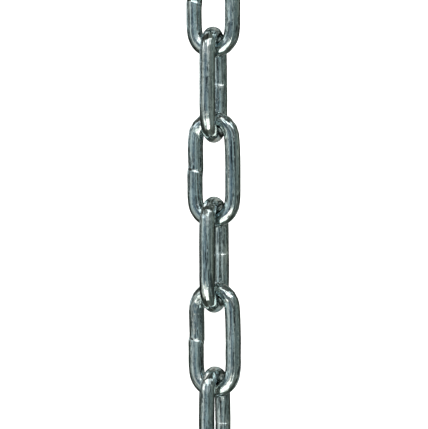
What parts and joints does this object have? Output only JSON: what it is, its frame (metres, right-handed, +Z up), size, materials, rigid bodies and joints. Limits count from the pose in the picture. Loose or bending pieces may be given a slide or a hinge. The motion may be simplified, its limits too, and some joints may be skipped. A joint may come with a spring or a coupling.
{
  "type": "link chain",
  "caption": "Straight length of welded round-wire steel link chain, zinc plated, its links hinged on each other.",
  "frame": {"origin": "on the floor, under the middle of the chain", "axes": "+Y along the chain towards link_01, +Z up"},
  "size_m": [0.0178, 0.9932, 0.0178],
  "materials": {
    "zinc_steel": "bright zinc-plated drawn steel wire, cool blue-green grey, with a butt weld in one leg"
  },
  "bodies": {
    "link_01": {"link_01": "zinc_steel"},
    "link_02": {"link_02": "zinc_steel"},
    "link_03": {"link_03": "zinc_steel"},
    "link_04": {"link_04": "zinc_steel"},
    "link_05": {"link_05": "zinc_steel"},
    "link_06": {"link_06": "zinc_steel"},
    "link_07": {"link_07": "zinc_steel"},
    "link_08": {"link_08": "zinc_steel"},
    "link_09": {"link_09": "zinc_steel"},
    "link_10": {"link_10": "zinc_steel"},
    "link_11": {"link_11": "zinc_steel"},
    "link_12": {"link_12": "zinc_steel"},
    "link_13": {"link_13": "zinc_steel"},
    "link_14": {"link_14": "zinc_steel"},
    "link_15": {"link_15": "zinc_steel"},
    "link_16": {"link_16": "zinc_steel"},
    "link_17": {"link_17": "zinc_steel"},
    "link_18": {"link_18": "zinc_steel"},
    "link_19": {"link_19": "zinc_steel"},
    "link_20": {"link_20": "zinc_steel"},
    "link_21": {"link_21": "zinc_steel"},
    "link_22": {"link_22": "zinc_steel"},
    "link_23": {"link_23": "zinc_steel"},
    "link_24": {"link_24": "zinc_steel"},
    "link_25": {"link_25": "zinc_steel"},
    "link_26": {"link_26": "zinc_steel"},
    "link_27": {"link_27": "zinc_steel"},
    "link_28": {"link_28": "zinc_steel"},
    "link_29": {"link_29": "zinc_steel"},
    "link_30": {"link_30": "zinc_steel"}
  },
  "joints": [
    {"name": "bend_01_02", "type": "hinge", "parent": "link_01", "child": "link_02", "pos_m": [0, 0.45465, 0.00888], "axis": [0.7071, 0, 0.7071], "range_deg": [-90, 90]},
    {"name": "bend_02_03", "type": "hinge", "parent": "link_02", "child": "link_03", "pos_m": [0, 0.42195, 0.00888], "axis": [-0.7275, 0, 0.6861], "range_deg": [-90, 90]},
    {"name": "bend_03_04", "type": "hinge", "parent": "link_03", "child": "link_04", "pos_m": [0, 0.38925, 0.00888], "axis": [-0.6685, 0, -0.7437], "range_deg": [-90, 90]},
    {"name": "bend_04_05", "type": "hinge", "parent": "link_04", "child": "link_05", "pos_m": [0, 0.35655, 0.00888], "axis": [0.753, 0, -0.658], "range_deg": [-90, 90]},
    {"name": "bend_05_06", "type": "hinge", "parent": "link_05", "child": "link_06", "pos_m": [0, 0.32385, 0.00888], "axis": [0.6568, 0, 0.7541], "range_deg": [-90, 90]},
    {"name": "bend_06_07", "type": "hinge", "parent": "link_06", "child": "link_07", "pos_m": [0, 0.29115, 0.00888], "axis": [-0.7468, 0, 0.6651], "range_deg": [-90, 90]},
    {"name": "bend_07_08", "type": "hinge", "parent": "link_07", "child": "link_08", "pos_m": [0, 0.25845, 0.00888], "axis": [-0.6812, 0, -0.7321], "range_deg": [-90, 90]},
    {"name": "bend_08_09", "type": "hinge", "parent": "link_08", "child": "link_09", "pos_m": [0, 0.22575, 0.00888], "axis": [0.7124, 0, -0.7017], "range_deg": [-90, 90]},
    {"name": "bend_09_10", "type": "hinge", "parent": "link_09", "child": "link_10", "pos_m": [0, 0.19305, 0.00888], "axis": [0.7227, 0, 0.6912], "range_deg": [-90, 90]},
    {"name": "bend_10_11", "type": "hinge", "parent": "link_10", "child": "link_11", "pos_m": [0, 0.16035, 0.00888], "axis": [-0.6724, 0, 0.7402], "range_deg": [-90, 90]},
    {"name": "bend_11_12", "type": "hinge", "parent": "link_11", "child": "link_12", "pos_m": [0, 0.12765, 0.00888], "axis": [-0.7514, 0, -0.6598], "range_deg": [-90, 90]},
    {"name": "bend_12_13", "type": "hinge", "parent": "link_12", "child": "link_13", "pos_m": [0, 0.09495, 0.00888], "axis": [0.6561, 0, -0.7546], "range_deg": [-90, 90]},
    {"name": "bend_13_14", "type": "hinge", "parent": "link_13", "child": "link_14", "pos_m": [0, 0.06225, 0.00888], "axis": [0.7493, 0, 0.6622], "range_deg": [-90, 90]},
    {"name": "bend_14_15", "type": "hinge", "parent": "link_14", "child": "link_15", "pos_m": [0, 0.02955, 0.00888], "axis": [-0.6766, 0, 0.7363], "range_deg": [-90, 90]},
    {"name": "bend_15_16", "type": "hinge", "parent": "link_15", "child": "link_16", "pos_m": [0, -0.00315, 0.00888], "axis": [-0.7176, 0, -0.6964], "range_deg": [-90, 90]},
    {"name": "bend_16_17", "type": "hinge", "parent": "link_16", "child": "link_17", "pos_m": [0, -0.03585, 0.00888], "axis": [0.7176, 0, -0.6964], "range_deg": [-90, 90]},
    {"name": "bend_17_18", "type": "hinge", "parent": "link_17", "child": "link_18", "pos_m": [0, -0.06855, 0.00888], "axis": [0.6766, 0, 0.7363], "range_deg": [-90, 90]},
    {"name": "bend_18_19", "type": "hinge", "parent": "link_18", "child": "link_19", "pos_m": [0, -0.10125, 0.00888], "axis": [-0.7493, 0, 0.6622], "range_deg": [-90, 90]},
    {"name": "bend_19_20", "type": "hinge", "parent": "link_19", "child": "link_20", "pos_m": [0, -0.13395, 0.00888], "axis": [-0.6561, 0, -0.7546], "range_deg": [-90, 90]},
    {"name": "bend_20_21", "type": "hinge", "parent": "link_20", "child": "link_21", "pos_m": [0, -0.16665, 0.00888], "axis": [0.7514, 0, -0.6598], "range_deg": [-90, 90]},
    {"name": "bend_21_22", "type": "hinge", "parent": "link_21", "child": "link_22", "pos_m": [0, -0.19935, 0.00888], "axis": [0.6724, 0, 0.7402], "range_deg": [-90, 90]},
    {"name": "bend_22_23", "type": "hinge", "parent": "link_22", "child": "link_23", "pos_m": [0, -0.23205, 0.00888], "axis": [-0.7227, 0, 0.6912], "range_deg": [-90, 90]},
    {"name": "bend_23_24", "type": "hinge", "parent": "link_23", "child": "link_24", "pos_m": [0, -0.26475, 0.00888], "axis": [-0.7124, 0, -0.7017], "range_deg": [-90, 90]},
    {"name": "bend_24_25", "type": "hinge", "parent": "link_24", "child": "link_25", "pos_m": [0, -0.29745, 0.00888], "axis": [0.6812, 0, -0.7321], "range_deg": [-90, 90]},
    {"name": "bend_25_26", "type": "hinge", "parent": "link_25", "child": "link_26", "pos_m": [0, -0.33015, 0.00888], "axis": [0.7468, 0, 0.6651], "range_deg": [-90, 90]},
    {"name": "bend_26_27", "type": "hinge", "parent": "link_26", "child": "link_27", "pos_m": [0, -0.36285, 0.00888], "axis": [-0.6568, 0, 0.7541], "range_deg": [-90, 90]},
    {"name": "bend_27_28", "type": "hinge", "parent": "link_27", "child": "link_28", "pos_m": [0, -0.39555, 0.00888], "axis": [-0.753, 0, -0.658], "range_deg": [-90, 90]},
    {"name": "bend_28_29", "type": "hinge", "parent": "link_28", "child": "link_29", "pos_m": [0, -0.42825, 0.00888], "axis": [0.6685, 0, -0.7437], "range_deg": [-90, 90]},
    {"name": "bend_29_30", "type": "hinge", "parent": "link_29", "child": "link_30", "pos_m": [0, -0.46095, 0.00888], "axis": [0.7275, 0, 0.6861], "range_deg": [-90, 90]}
  ]
}
